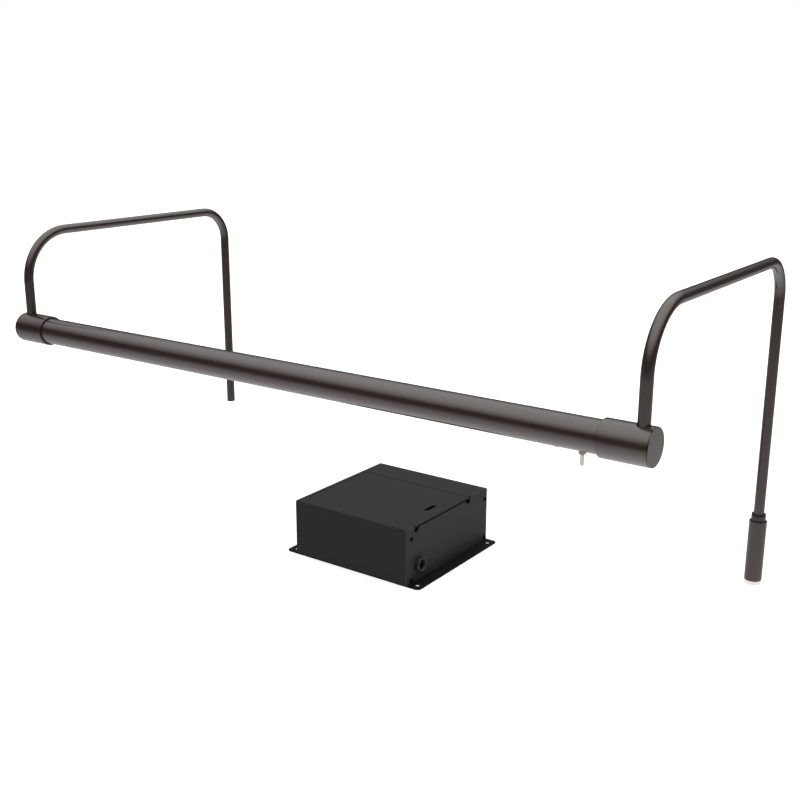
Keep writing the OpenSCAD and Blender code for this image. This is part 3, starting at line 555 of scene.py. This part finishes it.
def choke():
    """A ring core wound with enamelled wire."""
    low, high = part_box("board_choke")
    middle = (low + high) / 2
    place = Matrix.Translation((middle.x, middle.y, low.z))
    tall = high.z - low.z
    outer, inner = (high.x - low.x) / 2, 6 * MM
    wire, soft = 0.55 * MM, 0.8 * MM
    core_in, core_out = inner + 2 * wire, outer - 2 * wire
    core_low, core_top = 2 * wire, tall - 2 * wire
    bm = bmesh.new()
    turned(bm, place, [
        (core_in + soft, core_low), (core_out - soft, core_low), (core_out, core_low + soft),
        (core_out, core_top - soft), (core_out - soft, core_top), (core_in + soft, core_top),
        (core_in, core_top - soft), (core_in, core_low + soft)], steps=48, ring=True)
    core = piece("choke_core", bm, "board_choke", finish=materials["black_plastic"])
    bm = bmesh.new()
    wire_along(bm, [place @ spot for spot in choke_path(outer, inner, tall, wire)], wire)
    winding = piece("choke_winding", bm, "board_choke")
    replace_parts(winding, "board_choke")
    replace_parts(core, "board_choke")


def chips():
    """Two surface-mount chips with bent legs and a dimple at the first leg."""
    low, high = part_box("board_chips")
    wide, pin_pitch, pins = 8 * MM, 1.27 * MM, 7
    legs_long, stand_off, draught = 1.2 * MM, 0.2 * MM, 0.25 * MM
    dimple_x, dimple_y, dimple_sunk = 2.4 * MM, 1.3 * MM, 0.05 * MM
    dimple = [(0, 0), (0.45 * MM, 0), (0.35 * MM, 0.05 * MM), (0, 0.02 * MM)]
    shoulder_in, waist_in, thick, half_pin = 0.9 * MM, 1.5 * MM, 0.2 * MM, 0.21 * MM
    foot_tip, foot_heel, waist_low, waist_top = 0.2 * MM, 0.25 * MM, 0.75 * MM, 0.95 * MM
    bodies, legs = bmesh.new(), bmesh.new()
    for x in (low.x, high.x - wide):
        block(bodies, (x + legs_long, low.y, low.z + stand_off), (x + wide - legs_long, high.y, high.z),
              taper=draught)
        turned(bodies, Matrix.Translation((x + dimple_x, high.y - dimple_y, high.z - dimple_sunk)), dimple,
               steps=16)
        for i in range(pins):
            y = (low.y + high.y) / 2 + (i - pins // 2) * pin_pitch
            for side, foot in ((1, x + wide), (-1, x)):
                shoulder = foot - side * shoulder_in
                inside = shoulder - side * thick
                waist = foot - side * waist_in
                outline = [(foot, 0.0), (foot, foot_tip), (shoulder, foot_heel), (shoulder, waist_top),
                           (waist, waist_top), (waist, waist_low), (inside, waist_low), (inside, 0.0)]
                rows = [[legs.verts.new((px, y + shift, low.z + pz)) for px, pz in outline]
                        for shift in (-half_pin, half_pin)]
                for row in rows:
                    legs.faces.new(row)
                for a in range(len(outline)):
                    b = (a + 1) % len(outline)
                    legs.faces.new((rows[0][a], rows[0][b], rows[1][b], rows[1][a]))
    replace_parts(piece("chip_bodies", bodies, "board_chips"), "board_chips")
    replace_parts(piece("chip_legs", legs, "board_chips", finish=materials["steel"]), "board_chips")


def battery():
    """The battery's case with ribs along its upper side, and its stepped cover."""
    low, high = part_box("battery_case")
    rib, ribs, groove = 0.8 * MM, 9, 0.12
    rib_root, rib_front, rib_rear = 0.2 * MM, 6 * MM, 4 * MM
    pitch = (high.x - low.x) / ribs
    bm = bmesh.new()
    block(bm, low, (high.x, high.y, high.z - rib))
    for i in range(ribs):
        block(bm, (low.x + pitch * (i + groove), low.y + rib_front, high.z - rib - rib_root),
              (low.x + pitch * (i + 1 - groove), high.y - rib_rear, high.z), taper=0.5 * MM)
    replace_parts(piece("battery_shell", bm, "battery_case", round_edges=0.9 * MM), "battery_case")
    low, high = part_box("battery_cover")
    lip, overlap = 0.8 * MM, 0.2 * MM
    step_y = low.y + 0.55 * (high.y - low.y)
    bm = bmesh.new()
    block(bm, (low.x + lip, low.y, low.z + lip), (high.x - lip, step_y, high.z - lip))
    block(bm, (low.x, step_y - overlap, low.z), (high.x, high.y, high.z))
    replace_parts(piece("battery_lid", bm, "battery_cover", round_edges=0.7 * MM), "battery_cover")


panel_screws()
cable_bushing()
capacitors()
choke()
chips()
battery()


# ---------------------------------------------------------------- floor, light and camera


STUDIO_STRENGTH = 1.26
# the sine of the height above the horizon, and the share of that strength there
STUDIO = [
    (-1.0, 1.2), (-0.8, 1.0), (-0.6, 0.72), (-0.4, 0.6), (-0.28, 0.42), (-0.18, 0.18),
    (-0.05, 0.06), (0.24, 0.04), (0.32, 0.12), (0.42, 0.45), (0.6, 0.85), (0.75, 1.2), (1.0, 1.35),
]


def pale_floor():
    """A wide, pale, plain disc that the box and the connector just touch."""
    bpy.ops.mesh.primitive_circle_add(vertices=96, radius=40, fill_type="NGON")
    floor = bpy.context.object
    floor.name = "floor"
    floor.location.z = cad_low.z
    s = Shader("floor_paper", Roughness=0.9, IOR=1.2, Emission_Color=grey(1.0), Emission_Strength=0.45)
    tone = s.blend(s.noise(0.2), grey(0.885), grey(0.90))
    floor.data.materials.append(s.into(Base_Color=tone))
    floor.visible_glossy = False


def studio_light():
    """A soft dome, a dark horizon and a lit ground for the gloss to reflect. The camera sees white."""
    world = bpy.data.worlds.new("studio")
    scene.world = world
    world.use_nodes = True
    tree = world.node_tree
    background = tree.nodes["Background"]
    background.inputs["Color"].default_value = colour(1, 1, 1)
    direction = tree.nodes.new("ShaderNodeTexCoord").outputs["Generated"]
    height = tree.nodes.new("ShaderNodeSeparateXYZ")
    tree.links.new(direction, height.inputs[0])
    upward = tree.nodes.new("ShaderNodeMapRange")
    upward.inputs["From Min"].default_value = -1.0
    tree.links.new(height.outputs["Z"], upward.inputs["Value"])
    ramp = tree.nodes.new("ShaderNodeValToRGB")
    stops = ramp.color_ramp.elements
    while len(stops) > 1:
        stops.remove(stops[-1])
    for sine, bright in STUDIO:
        stop = stops[0] if sine == -1 else stops.new((sine + 1) / 2)
        stop.position = (sine + 1) / 2
        stop.color = grey(bright)
    tree.links.new(upward.outputs["Result"], ramp.inputs["Fac"])
    scaled = tree.nodes.new("ShaderNodeMath")
    scaled.operation = "MULTIPLY"
    scaled.inputs[1].default_value = STUDIO_STRENGTH
    tree.links.new(ramp.outputs["Color"], scaled.inputs[0])
    seen = tree.nodes.new("ShaderNodeLightPath").outputs["Is Camera Ray"]
    pick = tree.nodes.new("ShaderNodeMix")
    tree.links.new(seen, pick.inputs["Factor"])
    tree.links.new(scaled.outputs[0], pick.inputs["A"])
    pick.inputs["B"].default_value = 1.0
    tree.links.new(pick.outputs["Result"], background.inputs["Strength"])


def camera():
    """The photograph's viewpoint: from the right front, a little above the lamp."""
    data = bpy.data.cameras.new("camera")
    data.sensor_width = 36
    data.lens = 49.93
    made = bpy.data.objects.new("camera", data)
    scene.collection.objects.link(made)
    place = Matrix.Translation(Vector((0.8360, -1.3091, 0.5084)))
    yaw = Matrix.Rotation(math.radians(35.51), 4, "Z")
    tilt = Matrix.Rotation(math.radians(90 - 15.63), 4, "X")
    roll = Matrix.Rotation(math.radians(0.116), 4, "Z")
    made.matrix_world = place @ yaw @ tilt @ roll
    scene.camera = made


pale_floor()
studio_light()
camera()
scene.view_settings.view_transform = "Standard"
